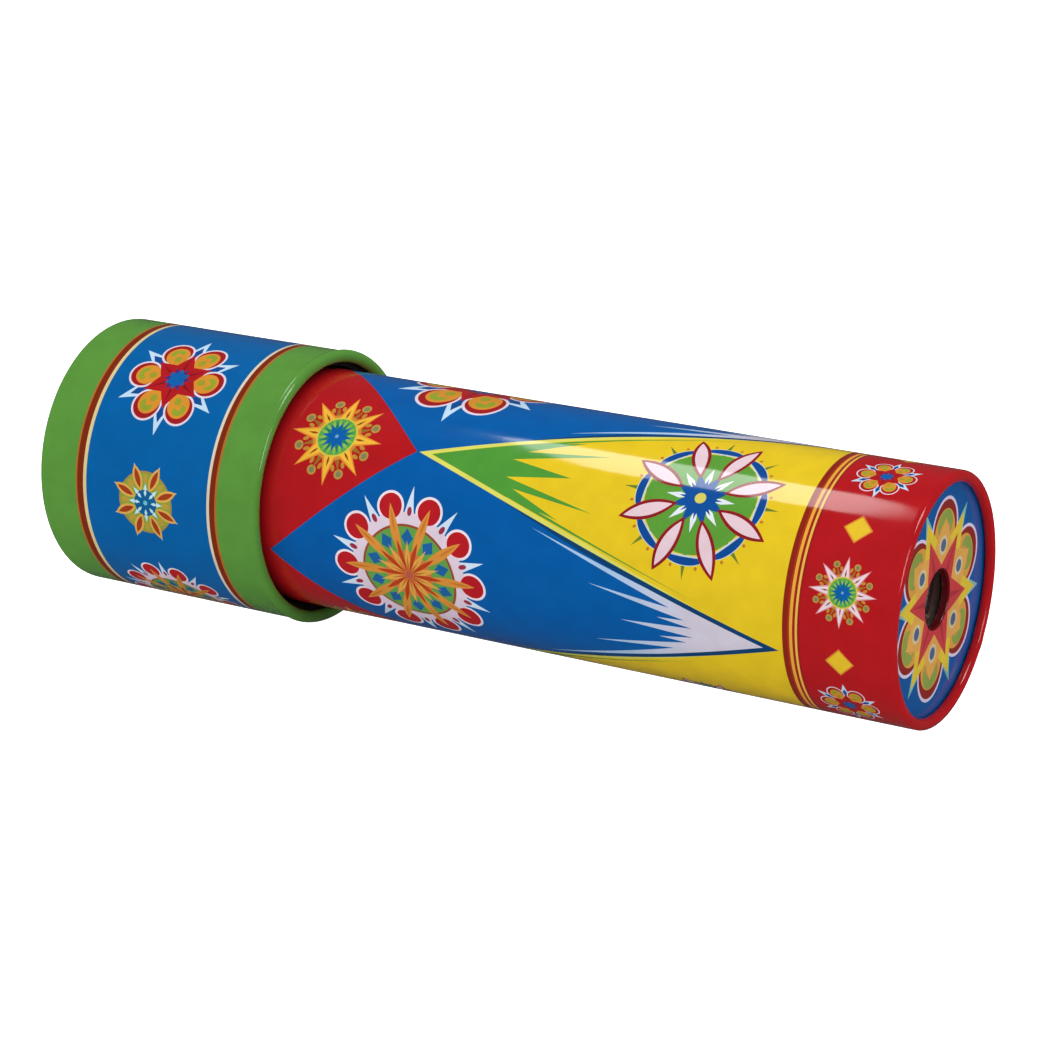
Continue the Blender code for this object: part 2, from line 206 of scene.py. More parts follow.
def eased(corners, radius, steps=3):
    """A closed outline with each corner replaced by a round one.

    Each is a quadratic curve from `radius` before the corner to `radius` after it, with the corner
    as its control point, and a further point on each side keeps the flats flat. A corner on the
    axis stays sharp.
    """
    corners = np.asarray(corners, float)
    t = np.linspace(0, 1, steps + 1)[:, None]
    points = []
    neighbours = np.roll(corners, 1, 0), corners, np.roll(corners, -1, 0)
    for before, corner, after in zip(*neighbours):
        if corner[1] == 0:
            points.append(corner[None])
            continue
        into, out = before - corner, after - corner
        into, out = (way / np.linalg.norm(way) * radius for way in (into, out))
        bend = corner + (1 - t) ** 2 * into + t**2 * out
        points.append(np.vstack([corner + SUPPORT * into, bend, corner + SUPPORT * out]))
    return np.vstack(points)


def surface(name, points, body, slot, finishes, closes=True, sides=None, share=None):
    """A mesh through points[i, j], where j runs round and closes, and i closes too if told to.

    A row whose points all meet becomes one pole. `sides` gives each strip between rows its place
    among the finishes. The map has j across and the length along i up, which `share` weighs strip
    by strip.
    """
    rows, columns = points.shape[:2]
    strips = rows if closes else rows - 1
    here, there = np.arange(strips), (np.arange(strips) + 1) % rows
    poles = np.ptp(points, axis=1).max(axis=1) < TOUCHING
    starts = np.concatenate([[0], np.cumsum(np.where(poles, 1, columns))])[:-1]
    index = starts[:, None] + np.where(poles[:, None], 0, np.arange(columns))
    vertices = points[~(poles[:, None] & (np.arange(columns) > 0))]

    near, far = index[here], index[there]
    quads = np.stack([near, far, np.roll(far, -1, 1), np.roll(near, -1, 1)], axis=-1)
    steps = np.linalg.norm(points[there, 0] - points[here, 0], axis=1)
    up = np.concatenate([[0], np.cumsum(steps * (1 if share is None else share))])
    up = MAP_EDGE + (1 - 2 * MAP_EDGE) * up / up[-1]
    across = MAP_EDGE + (1 - 2 * MAP_EDGE) * np.arange(columns + 1) / columns
    left, low = np.meshgrid(across[:-1], up[:-1])
    right, high = np.meshgrid(across[1:], up[1:])
    maps = np.stack([left, low, left, high, right, high, right, low], axis=-1)
    maps = maps.reshape(strips, columns, 4, 2)

    sides = np.zeros(strips, int) if sides is None else sides
    faces, loops, kinds = [], [], []
    for mask, corners in (
        (~poles[here] & ~poles[there], [0, 1, 2, 3]),
        (poles[here] & ~poles[there], [0, 1, 2]),
        (~poles[here] & poles[there], [0, 1, 3]),
    ):
        faces += quads[mask][..., corners].reshape(-1, len(corners)).tolist()
        loops.append(maps[mask][:, :, corners].reshape(-1))
        kinds.append(np.repeat(sides[mask], columns))

    mesh = bpy.data.meshes.new(name)
    mesh.from_pydata(vertices.tolist(), [], faces)
    uvs = mesh.uv_layers.new(name="OFBake")
    uvs.data.foreach_set("uv", np.concatenate(loops).astype(np.float32))
    mesh.polygons.foreach_set("material_index", np.concatenate(kinds).astype(np.int32))
    for finish_name in finishes:
        mesh.materials.append(bpy.data.materials[finish_name])
    mesh.shade_smooth()
    mesh.set_sharp_from_angle(angle=SHARP)
    piece = placed(name, mesh)
    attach(piece, body)
    return piece


def turned(name, outline, body, slot, finishes, seam=None, **options):
    """An outline (station, radius) carried once round the axis, facing outwards.

    A point goes to (station, -radius sin t, radius cos t) for t even over a full turn. A seam
    (turn, width, height, shares) adds each outline point's share of its height to the radius,
    where the turn is within half its width. Its shoulders are 0.3 of the width, eased as
    3 e^2 - 2 e^3.
    """
    segments = bpy.context.scene.kaleidoscope_tube.segments
    x, r = outline.T
    turns = np.linspace(0, 2 * math.pi, segments, endpoint=False)
    raised = np.zeros((len(r), segments))
    if seam:
        turn, width, height, shares = seam
        away = np.abs((turns - turn + math.pi) % (2 * math.pi) - math.pi) * r.max()
        ridge = np.clip((width / 2 - away) / (0.3 * width), 0, 1)
        raised = height * shares[:, None] * ridge * ridge * (3 - 2 * ridge)
    reach = r[:, None] + raised
    stations = np.broadcast_to(FAR_END + x[:, None], reach.shape)
    points = np.stack([stations, -reach * np.sin(turns), AXIS + reach * np.cos(turns)], axis=-1)
    return surface(name, points, body, slot, finishes, **options)


def ring(node, inner, ease, slot, finish_name, body):
    """A flat ring or plate in place of a CAD node: a rectangle with eased corners, turned.

    An inner radius of 0 makes it a plate with a pole in the middle of each face.
    """
    start, end, outer = round_piece(node)
    corners = [(start, inner), (end, inner), (end, outer), (start, outer)]
    outline = eased(corners, ease)
    if inner == 0:
        poles = np.flatnonzero(outline[:, 1] == 0)
        outline = np.roll(outline, -poles[1], axis=0)
    piece = turned(node + "_piece", outline, body, slot, [finish_name], closes=inner > 0)
    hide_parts(node)


def sheet_piece(node, path, thickness, body, slot, finish_name, seam=None):
    """A bent tinplate sheet in place of a CAD node, printed on its outer side and bare inside.

    The outline is the outer side of the path, then the inner side back again. The bare side takes a
    quarter of the map's height for its length.
    """
    outer, inner = both_sides(path, thickness)
    outline = np.vstack([outer[::-1], inner])
    printed = np.arange(len(outline)) < len(outer) - 1
    lifted = np.concatenate([np.ones(len(outer)), np.zeros(len(inner))])
    piece = turned(node + "_piece", outline, body, slot, [finish_name, "Bare tinplate"],
                   seam=seam and (*seam, lifted), sides=np.where(printed, 0, 1),
                   share=np.where(printed, 1.0, 0.25))
    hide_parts(node)


# ---- finishes


def add(tree, kind, *inputs, out=0, **named):
    """Adds one node with its settings, feeds its open inputs in order and returns an output.

    An input is an output to link, a value, an sRGB hex colour, or None to leave it. A name with a
    capital letter is an input, with _ for each space, and any other is a setting.
    """
    node = tree.nodes.new("ShaderNode" + kind)
    by_name = []
    for name, value in named.items():
        if name[0].isupper():
            by_name.append((node.inputs[name.replace("_", " ")], value))
        else:
            setattr(node, name, value)
    in_order = zip([socket for socket in node.inputs if socket.enabled], inputs)
    for socket, value in [*in_order, *by_name]:
        if isinstance(value, NodeSocket):
            tree.links.new(value, socket)
        elif value is not None:
            socket.default_value = linear(value) if isinstance(value, str) else value
    outputs = [socket for socket in node.outputs if socket.enabled]
    return outputs[out] if outputs else node


def finish(name, dress=None, **inputs):
    """A Principled material from numbers that are the same all over and from what `dress` gives.

    `dress` gets the node adder and the place on the piece, and returns a colour and a roughness,
    and for a surface with relief also its height, depth in metres and strength.
    """
    material = bpy.data.materials.new(name)
    material.use_nodes = True
    tree = material.node_tree
    tree.nodes.clear()
    put = partial(add, tree)
    if dress:
        inputs["Base_Color"], inputs["Roughness"], *relief = dress(put, put("TexCoord", out=3))
        if relief:
            height, depth, strength = relief
            inputs["Normal"] = put("Bump", Height=height, Distance=depth, Strength=strength)
    put("OutputMaterial", put("BsdfPrincipled", **inputs))
    return material


def overprint(put, ground, layers):
    """Prints each (mask, ink) over what is there already, in order."""
    for mask, colour in layers:
        ground = put("Mix", mask, ground, colour, data_type="RGBA")
    return ground


def leaf(put, place, widest, tip, half_width, bow=1, edge=1):
    """1 where a leaf covers a place (x, y, 1), else 0.

    With s the distance from its widest point as a share of the way to its tip, and t the distance
    from its middle line over half its width, the leaf is where |s|^bow + |t|^edge < 1. It is a
    spike where both powers are 1.
    """
    run = np.subtract(tip, widest)
    length = np.hypot(*run)
    across = np.array([-run[1], run[0]]) / length / half_width
    along = run / length**2
    powers = []
    for direction, power in ((along, bow), (across, edge)):
        weights = (*direction.tolist(), -float(direction @ widest))
        share = put("VectorMath", place, weights, operation="DOT_PRODUCT")
        share = put("Math", share, operation="ABSOLUTE")
        if power != 1:
            share = put("Math", share, power, operation="POWER")
        powers.append(share)
    both = put("Math", *powers, operation="ADD")
    return put("Math", both, 1.0, operation="LESS_THAN")


POWERS = {"spike": (1, 1), "petal": (2, 1), "oval": (2, 2), "arc": (2, 2)}


def motif(name, layers):
    """A node group that prints a round motif on its ground, in millimetres from its centre.

    A layer is ("disc", ink, radius), or (shape, ink, count, turn, widest, tip, half width, aside):
    that many spokes round the centre, the first turned by so many degrees, each with a leaf on it.
    The plane is folded so that one leaf serves all spokes: the angle from the nearest spoke is a
    ping-pong of the angle over half their spacing. `aside` moves the leaf off its spoke, to both
    sides. An arc is a leaf on (radius, degrees) in place of (along, across).
    """
    group = bpy.data.node_groups.new(name, "ShaderNodeTree")
    for label, kind in (("Place", "NodeSocketVector"), ("Ground", "NodeSocketColor")):
        group.interface.new_socket(label, in_out="INPUT", socket_type=kind)
    group.interface.new_socket("Color", in_out="OUTPUT", socket_type="NodeSocketColor")
    source = group.nodes.new("NodeGroupInput")
    put = partial(add, group)
    place, ground = source.outputs[0], source.outputs[1]
    radius = put("VectorMath", place, operation="LENGTH")
    x, y = (put("SeparateXYZ", place, out=i) for i in (0, 1))
    bearing = put("Math", y, x, operation="ARCTAN2")

    @cache
    def folded(count, turn, polar):
        off = put("Math", bearing, math.radians(turn), operation="SUBTRACT")
        off = put("Math", off, math.pi / count, operation="PINGPONG")
        if polar:
            return put("CombineXYZ", radius, put("Math", off, operation="DEGREES"), 1.0)
        waves = (put("Math", off, operation=wave) for wave in ("COSINE", "SINE"))
        along, across = (put("Math", wave, radius, operation="MULTIPLY") for wave in waves)
        return put("CombineXYZ", along, across, 1.0)

    for shape, colour, *numbers in layers:
        if shape == "disc":
            mask = put("Math", radius, numbers[0], operation="LESS_THAN")
        else:
            count, turn, widest, tip, half_width, aside = (*numbers, 0.0)[:6]
            spot = folded(count, turn, shape == "arc")
            mask = leaf(put, spot, (widest, aside), (tip, aside), half_width, *POWERS[shape])
        ground = overprint(put, ground, [(mask, colour)])
    target = group.nodes.new("NodeGroupOutput")
    group.links.new(ground, target.inputs[0])


# Motifs of the print, in millimetres, each layer over the one before. The eye flower's last disc is
# painted shade, not print.
SIX_PETAL = [
    ("spike", "#BFDCF2", 6, 30, 6.5, 13.0, 2.0),
    ("spike", "#0E4A92", 6, 30, 5.0, 10.3, 2.4),
    ("oval", "#E0D4E2", 6, 0, 7.9, 11.5, 3.5),
    ("oval", "#A01A20", 6, 0, 7.9, 11.05, 3.05),
    ("oval", "#D68E2E", 6, 0, 7.1, 9.9, 2.5),
    ("oval", "#8FA02E", 6, 0, 8.0, 9.3, 1.5),
    ("spike", "#D68E2E", 6, 0, 5.9, 8.3, 2.3),
    ("oval", "#9A9A2C", 6, 0, 6.0, 6.9, 0.8),
    ("spike", "#B0181E", 6, 30, 0, 7.2, 4.0),
    ("spike", "#7E141C", 6, 30, 0, 6.2, 0.5),
    ("spike", "#4A2E74", 6, 0, 0, 3.1, 1.6),
    ("spike", "#0A5FA8", 6, 30, 0, 2.7, 1.6),
    ("disc", "#0A5FA8", 1.7),
]
TEN_SPOKE = [
    ("spike", "#D2E4F4", 10, 18, 11.5, 17.8, 1.25),
    ("oval", "#F0E2EA", 10, 0, 14.0, 17.0, 3.0),
    ("disc", "#E2D0DE", 12.7),
    ("oval", "#B81A24", 10, 0, 14.0, 16.5, 2.5),
    ("oval", "#A03048", 10, 18, 12.9, 13.8, 0.5),
    ("disc", "#E2D0DE", 11.4),
    ("disc", "#9A4A30", 10.4),
    ("disc", "#62A04A", 9.9),
    ("spike", "#1E62A0", 10, 18, 7.8, 9.6, 1.35),
    ("petal", "#DA903A", 10, 0, 9.0, 14.6, 0.92),
    ("petal", "#C87430", 10, 0, 11.2, 13.6, 0.25),
    ("disc", "#D4783C", 5.2),
    ("spike", "#E0A848", 10, 18, 2.0, 7.2, 0.9),
    ("petal", "#B8401C", 10, 0, 4.1, 7.4, 0.45),
    ("spike", "#C86A34", 10, 18, 1.0, 4.6, 0.3),
    ("disc", "#B85A48", 0.8),
]
EIGHT_PETAL = [
    ("spike", "#6A8030", 8, 0, 12.2, 15.7, 0.5),
    ("arc", "#C07828", 8, 0, 13.4, 13.75, 1.3, 11.0),
    ("disc", "#5C9C38", 10.9),
    ("arc", "#C4D4D4", 8, 0, 12.0, 13.0, 19.5),
    ("arc", "#0D4894", 8, 0, 12.1, 12.85, 18.5),
    ("spike", "#E2EAF2", 8, 0, 4.2, 6.9, 0.62),
    ("spike", "#0D4F9C", 8, 22.5, 2.0, 5.9, 1.25),
    ("spike", "#0D4F9C", 8, 0, 0.0, 4.4, 0.9),
    ("disc", "#0D4F9C", 2.9),
    ("petal", "#8E1A22", 8, 22.5, 10.2, 16.0, 1.85),
    ("petal", "#E6CAD4", 8, 22.5, 10.2, 15.0, 1.2),
    ("disc", "#D8D060", 1.1),
]
SUN = [
    ("oval", "#B89440", 8, 22.5, 8.4, 9.4, 1.05),
    ("oval", "#C08A34", 8, 22.5, 6.8, 7.5, 0.42, 1.15),
    ("oval", "#82805A", 8, 22.5, 8.4, 9.0, 0.65),
    ("spike", "#9A6A24", 8, 22.5, 5.0, 8.0, 0.6),
    ("disc", "#C8883A", 5.3),
    ("spike", "#E08A30", 8, 0, 4.4, 10.6, 1.6),
    ("spike", "#F0B83A", 8, 0, 4.4, 9.9, 1.15),
    ("spike", "#8A4420", 8, 0, 5.4, 6.8, 0.25),
    ("disc", "#D8C040", 4.6),
    ("disc", "#58A448", 4.2),
    ("spike", "#8CB84C", 16, 11.25, 2.8, 4.5, 0.35),
    ("spike", "#1C7A66", 8, 22.5, 0, 4.0, 0.95),
    ("spike", "#0A5CA8", 8, 0, 0, 3.5, 1.1),
    ("disc", "#6AA8C8", 0.4),
]
PALE_INKS = {"#F0B83A": "#EAD4DC", "#E08A30": "#D89098"}
WHITE_SUN = [(shape, PALE_INKS.get(colour, colour), *numbers) for shape, colour, *numbers in SUN]
SMALL_ROSETTE = [
    ("spike", "#D8E4E0", 8, 22.5, 5.6, 8.4, 0.8),
    ("disc", "#A88A3C", 6.5),
    ("disc", "#86A23A", 6.1),
    ("oval", "#B89A3C", 8, 0, 5.0, 6.0, 0.6),
    ("petal", "#DDA850", 8, 22.5, 5.3, 8.1, 1.1),
    ("petal", "#A03C1A", 8, 22.5, 5.3, 7.4, 0.6),
    ("spike", "#C4E2EE", 8, 0, 2.6, 4.1, 0.5),
    ("disc", "#0A6094", 2.7),
    ("spike", "#C4E2EE", 8, 0, 2.1, 2.9, 0.35),
    ("disc", "#6ABCD0", 0.5),
]
EYE_FLOWER_AND_HOLE_SHADE = [
    ("spike", "#7CB4AC", 6, 51.5, 12.0, 19.6, 2.6),
    ("oval", "#D6CBE2", 6, 21.5, 13.0, 19.2, 6.1),
    ("oval", "#8C2420", 6, 21.5, 13.0, 18.6, 5.5),
    ("oval", "#D89A45", 6, 21.5, 12.2, 16.9, 4.8),
    ("oval", "#8A9E48", 6, 21.5, 14.0, 16.7, 3.5),
    ("oval", "#D2944A", 6, 21.5, 12.6, 14.3, 2.4),
    ("spike", "#DCC038", 6, 51.5, 0, 17.6, 8.4),
    ("spike", "#DCA450", 6, 21.5, 9.6, 15.2, 4.4),
    ("oval", "#D2C29A", 6, 21.5, 10.1, 11.9, 1.8),
    ("oval", "#4E6486", 6, 21.5, 10.1, 11.3, 1.2),
    ("spike", "#C43C40", 6, 51.5, 0, 13.4, 5.6),
    ("spike", "#A83038", 6, 51.5, 0, 12.0, 1.2),
    # Painted shade: dark maroon over the peep hole's turned-in edge, where the hole lies in shadow.
    ("disc", "#5A0E14", 5.8),
]


def cylinder_place(put, coordinates):
    """The station in millimetres and the turn in radians of a place on a turned sheet."""
    x, y, z = (put("SeparateXYZ", coordinates, out=i) for i in range(3))
    along = put("Math", x, 1 / MM, -FAR_END / MM, operation="MULTIPLY_ADD")
    height = put("Math", z, AXIS, operation="SUBTRACT")
    turn = put("Math", put("Math", y, -1.0, operation="MULTIPLY"), height, operation="ARCTAN2")
    return along, turn


def stamp(put, ground, motif_name, along, turn, radius, at, round_to, scale=1.0, count=1):
    """Prints a motif at a station and turn, `count` times round a sheet of that radius.

    Its own coordinates are the station and the arc length from its centre in millimetres, over its
    scale.
    """
    half = math.pi / count
    arc_way = put("Math", turn, math.radians(round_to), operation="SUBTRACT")
    arc_way = put("Math", arc_way, half, -half, operation="WRAP")
    arc_way = put("Math", arc_way, -radius / scale, operation="MULTIPLY")
    way = put("Math", along, 1 / scale, -at / scale, operation="MULTIPLY_ADD")
    place = put("CombineXYZ", way, arc_way)
    return put("Group", place, ground, node_tree=bpy.data.node_groups[motif_name])


def bands(put, ground, along, starts):
    """Prints each ink over what is there, from its own station onwards."""
    return overprint(put, ground, [
        (put("Math", along, start, operation="GREATER_THAN"), colour) for start, colour in starts])


def varnish(put, coordinates, ground):
    """Print under a roller-coated varnish: mottled ink, uneven gloss and a faintly wavy sheet.

    The ink's weight wanders by a few parts in a hundred over 5 mm, the gloss over 12 mm with fine
    rubs along the length, and the surface waves over 9 mm with 0.5 mm orange peel.
    """
    cloud = put("TexNoise", coordinates, Scale=200.0, Detail=4.0)
    weight = put("MapRange", cloud, 0.3, 0.7, 0.94, 1.05)
    colour = put("Mix", 1.0, ground, put("CombineColor", weight, weight, weight),
                 data_type="RGBA", blend_type="MULTIPLY")
    patches = put("TexNoise", coordinates, Scale=80.0, Detail=3.0)
    streaks = put("Mapping", coordinates, None, None, (60.0, 900.0, 900.0))
    rubs = put("TexNoise", streaks, Scale=1.0, Detail=5.0)
    gloss = put("Math", patches, rubs, operation="ADD")
    roughness = put("MapRange", gloss, 0.75, 1.3, 0.06, 0.11)
    wave = put("TexNoise", coordinates, Scale=110.0, Detail=1.0)
    peel = put("TexNoise", coordinates, Scale=2000.0, Detail=2.0)
    height = put("Math", peel, 0.05, wave, operation="MULTIPLY_ADD")
    return colour, roughness, height, 0.04 * MM, 0.6


def tube_print(put, coordinates):
    """The tube's artwork: three red, three blue and three yellow pointed fields, and an eye band.

    The fields are symmetrical about lines 60 degrees of turn apart, so they are drawn on the
    station and the arc length from the middle line of the nearest yellow field.
    """
    settings = bpy.context.scene.kaleidoscope_tube
    radius = settings.radius / MM
    blue, yellow = tuple(settings.blue), tuple(settings.yellow)
    red, green = tuple(settings.red), tuple(settings.green)
    along, turn = cylinder_place(put, coordinates)
    from_field = put("Math", turn, math.radians(45), operation="SUBTRACT")

    def folded(spacing):
        """A place (station, arc length from the nearest line), for lines twice this turn apart."""
        away = put("Math", from_field, math.radians(spacing), operation="PINGPONG")
        return put("CombineXYZ", along, put("Math", away, radius, operation="MULTIPLY"), 1.0)

    # The yellow fields start at 85 mm and widen by 1 mm of arc in 3.163 mm; `inside` is how far a
    # place lies within their edge. The red fields end in a point at 84.5 mm.
    place = folded(60)
    slope = 3.163
    steep = math.hypot(1, slope)
    edge = (1 / steep, -slope / steep, -85 / steep)
    inside = put("VectorMath", place, edge, operation="DOT_PRODUCT")
    red_side = put("VectorMath", place, (1.0, 1.213, -84.5), operation="DOT_PRODUCT")

    def both(mask, other):
        return put("Math", mask, other, operation="MULTIPLY")

    def tapered(middle, start, end, wide, narrow):
        """A line along the yellow edge, from wide to narrow between two stations."""
        width = put("MapRange", along, start, end, wide, narrow)
        width = put("Math", width, 0.0, operation="MAXIMUM")
        off = put("Math", inside, middle, operation="SUBTRACT")
        off = put("Math", off, operation="ABSOLUTE")
        return put("Math", off, width, operation="LESS_THAN")

    # White tongues run back from the blue field's point, between the yellow edges.
    point = radius * math.radians(60)
    tongues = [
        leaf(put, place, (149.0, point), (132.3, point), 1.1),
        leaf(put, place, (150.0, point - 2.6), (125.8, point - 6.3), 1.0),
        leaf(put, place, (152.0, point - 1.5), (140.0, point - 2.1), 1.3),
        put("Math", along, 148.5, operation="GREATER_THAN"),
    ]
    on_blue = put("Math", inside, -0.95, operation="LESS_THAN")
    on_yellow = put("Math", inside, 0.0, operation="GREATER_THAN")
    within_line = put("Math", inside, 0.85, operation="GREATER_THAN")
    shade = put("MapRange", along, 130.0, 147.0)
    white = put("Mix", shade, "#A8C8E8", "#D2CCDC", data_type="RGBA")
    ground = overprint(put, blue, [
        (put("Math", red_side, 0.0, operation="LESS_THAN"), red),
        *[(both(mask, on_blue), white) for mask in tongues],
        (tapered(-1.6, 113.0, 160.0, 0.0, 1.2), white),
        (tapered(0.0, 104.0, 124.0, 0.0, 0.95), "#0C3F6E"),
        (on_yellow, yellow),
        (both(on_yellow, tapered(0.0, 125.0, 152.0, 0.8, 0.0)), "#DCDA62"),
    ])
    flames = [
        put("Math", along, 104.0, operation="LESS_THAN"),
        leaf(put, place, (103.0, 0.0), (118.2, 0.0), 2.2),
        leaf(put, place, (103.5, 2.6), (124.6, 6.1), 1.0),
        tapered(1.9, 103.0, 118.0, 1.3, 0.0),
        tapered(1.25, 103.0, 148.0, 0.35, 0.0),
    ]
    ground = overprint(put, ground, [(both(mask, within_line), green) for mask in flames])
    ground = bands(put, ground, along, (
        (165.3, "#8C2416"), (166.3, "#A8301A"), (166.7, "#E6A83C"), (167.3, "#9C2418"),
        (167.8, "#E6B850"), (168.25, "#9C1A1C"), (168.7, red)))

    for name, at, round_to, scale, count in (
        ("Sun", 66.0, 44.5, 0.97, 3),
        ("Ten spokes", 86.4, 104.0, 1.0, 1),
        ("Six petals", 86.0, -15.0, 1.33, 1),
        ("Eight petals", 86.0, 225.0, 1.0, 1),
        ("Eight petals", 144.9, 43.5, 1.0, 1),
        ("Eight petals", 144.9, 165.0, 0.66, 1),
        ("Eight petals", 144.9, 285.0, 0.66, 1),
        ("Six petals", 176.3, 12.5, 0.5, 3),
        ("White sun", 176.3, 73.3, 0.62, 3),
    ):
        ground = stamp(put, ground, name, along, turn, radius, at, round_to, scale, count)
    place = folded(30)
    ground = overprint(put, ground, [
        (leaf(put, place, (176.3, 0.0), (179.1, 0.0), 2.8), "#D88A30"),
        (leaf(put, place, (176.3, 0.0), (178.7, 0.0), 2.4), "#E6C02C"),
    ])
    return varnish(put, coordinates, ground)


def barrel_print(put, coordinates):
    """The barrel's artwork: green ends, red and gold lines, and a blue field of flowers."""
    settings = bpy.context.scene.kaleidoscope_barrel
    radius = settings.radius / MM
    along, turn = cylinder_place(put, coordinates)
    green, blue = tuple(settings.green), tuple(settings.blue)
    ground = bands(put, green, along, (
        (9.5, "#B06A2C"), (9.9, "#7C2A0E"), (11.4, "#DCC890"), (12.2, blue),
        (42.0, "#DCD0B8"), (42.65, "#7C2A0E"), (43.9, "#B06A2C"), (44.4, green)))
    middle = 27.0
    for name, round_to, scale, count in (
        ("Six petals", 34.4, 1.0, 1),
        ("Ten spokes", 147.5, 0.78, 1),
        ("Eight petals", 272.0, 0.8, 1),
        ("Small rosette", 89.8, 1.0, 3),
    ):
        ground = stamp(put, ground, name, along, turn, radius, middle, round_to, scale, count)
    return varnish(put, coordinates, ground)


def disc_print(put, coordinates):
    """The eye disc's artwork: one six-petalled flower round the peep hole, on dark blue, with
    painted shade over the hole's turned-in edge.
    """
    centred = put("Mapping", coordinates, (0.0, 0.0, -AXIS / MM), None, (1 / MM,) * 3)
    y, z = (put("SeparateXYZ", centred, out=i) for i in (1, 2))
    place = put("CombineXYZ", y, z)
    ground = put("Group", place, "#08549A", node_tree=bpy.data.node_groups["Eye flower"])
    return varnish(put, coordinates, ground)


def bare_tin(put, coordinates):
    """Tin-coated steel: soft grey crystals a few millimetres across and fine rolling lines."""
    crystals = put("TexVoronoi", coordinates, Scale=300.0, out=1)
    grey = put("SeparateXYZ", crystals)
    lines = put("Mapping", coordinates, None, None, (80.0, 2500.0, 2500.0))
    rolled = put("TexNoise", lines, Scale=1.0, Detail=3.0)
    colour = put("Mix", grey, "#B4B8BA", "#C6CACC", data_type="RGBA")
    roughness = put("MapRange", rolled, 0.3, 0.7, 0.24, 0.38)
    return colour, roughness, rolled, 0.01 * MM, 0.5


def card(dark, pale, fleck_ink):
    """Chipboard: long fibres, flecks of old print and a soft open surface."""
    def dress(put, coordinates):
        fibres = put("TexNoise", coordinates, Scale=1400.0, Detail=6.0, Distortion=1.5)
        flecks = put("TexVoronoi", coordinates, Scale=900.0)
        fleck = put("Math", flecks, 0.13, operation="LESS_THAN")
        half_shown = put("Math", fleck, 0.5, operation="MULTIPLY")
        colour = put("Mix", fibres, dark, pale, data_type="RGBA")
        colour = overprint(put, colour, [(half_shown, fleck_ink)])
        roughness = put("MapRange", fibres, 0.3, 0.7, 0.82, 0.96)
        return colour, roughness, fibres, 0.08 * MM, 0.7
    return dress


def paper_tape(put, coordinates):
    """Gummed kraft paper: brown, with cross ribs 0.6 mm apart and loose fibres."""
    stretched = put("Mapping", coordinates, None, None, (300.0, 1200.0, 1200.0))
    fibres = put("TexNoise", stretched, Scale=1.0, Detail=6.0, Distortion=0.8)
    ribs = put("TexWave", coordinates, Scale=270.0, Distortion=0.4, bands_direction="X")
    colour = put("Mix", fibres, "#A07E50", "#D0B384", data_type="RGBA")
    roughness = put("MapRange", fibres, 0.3, 0.7, 0.62, 0.8)
    height = put("Math", ribs, 0.3, fibres, operation="MULTIPLY_ADD")
    return colour, roughness, height, 0.04 * MM, 0.6


def polished(shade, smooth, hazy, scuff=0.006 * MM):
    """A smooth surface with fingerprints in its gloss and hairline scuffs of that depth."""
    def dress(put, coordinates):
        prints = put("TexNoise", coordinates, Scale=140.0, Detail=5.0, Distortion=1.0)
        hairs = put("TexWave", coordinates, Scale=260.0, Distortion=18.0, Detail=4.0)
        roughness = put("MapRange", prints, 0.4, 0.8, smooth, hazy)
        colour = put("Mix", prints, *shade, data_type="RGBA")
        return colour, roughness, hairs, scuff, 0.4
    return dress


def clouded(shades, smooth, rough, grain=None, depth=0.0, **noise):
    """Two shades and a roughness that follow one noise, with a relief of finer grain if given."""
    def dress(put, coordinates):
        cloud = put("TexNoise", coordinates, Detail=3.0, **noise)
        colour = put("Mix", cloud, *shades, data_type="RGBA")
        roughness = put("MapRange", cloud, 0.3, 0.7, smooth, rough)
        if not grain:
            return colour, roughness
        return colour, roughness, put("TexNoise", coordinates, **grain), depth, 0.5
    return dress


CHIP_TONES = {
    "red": ("#D01020", "#E02A38"),
    "blue": ("#1038C8", "#2450E0"),
    "green": ("#10A038", "#28B850"),
    "yellow": ("#F0C010", "#F8D440"),
    "violet": ("#7A1CA8", "#9238C0"),
    "amber": ("#F07C10", "#F89430"),
}


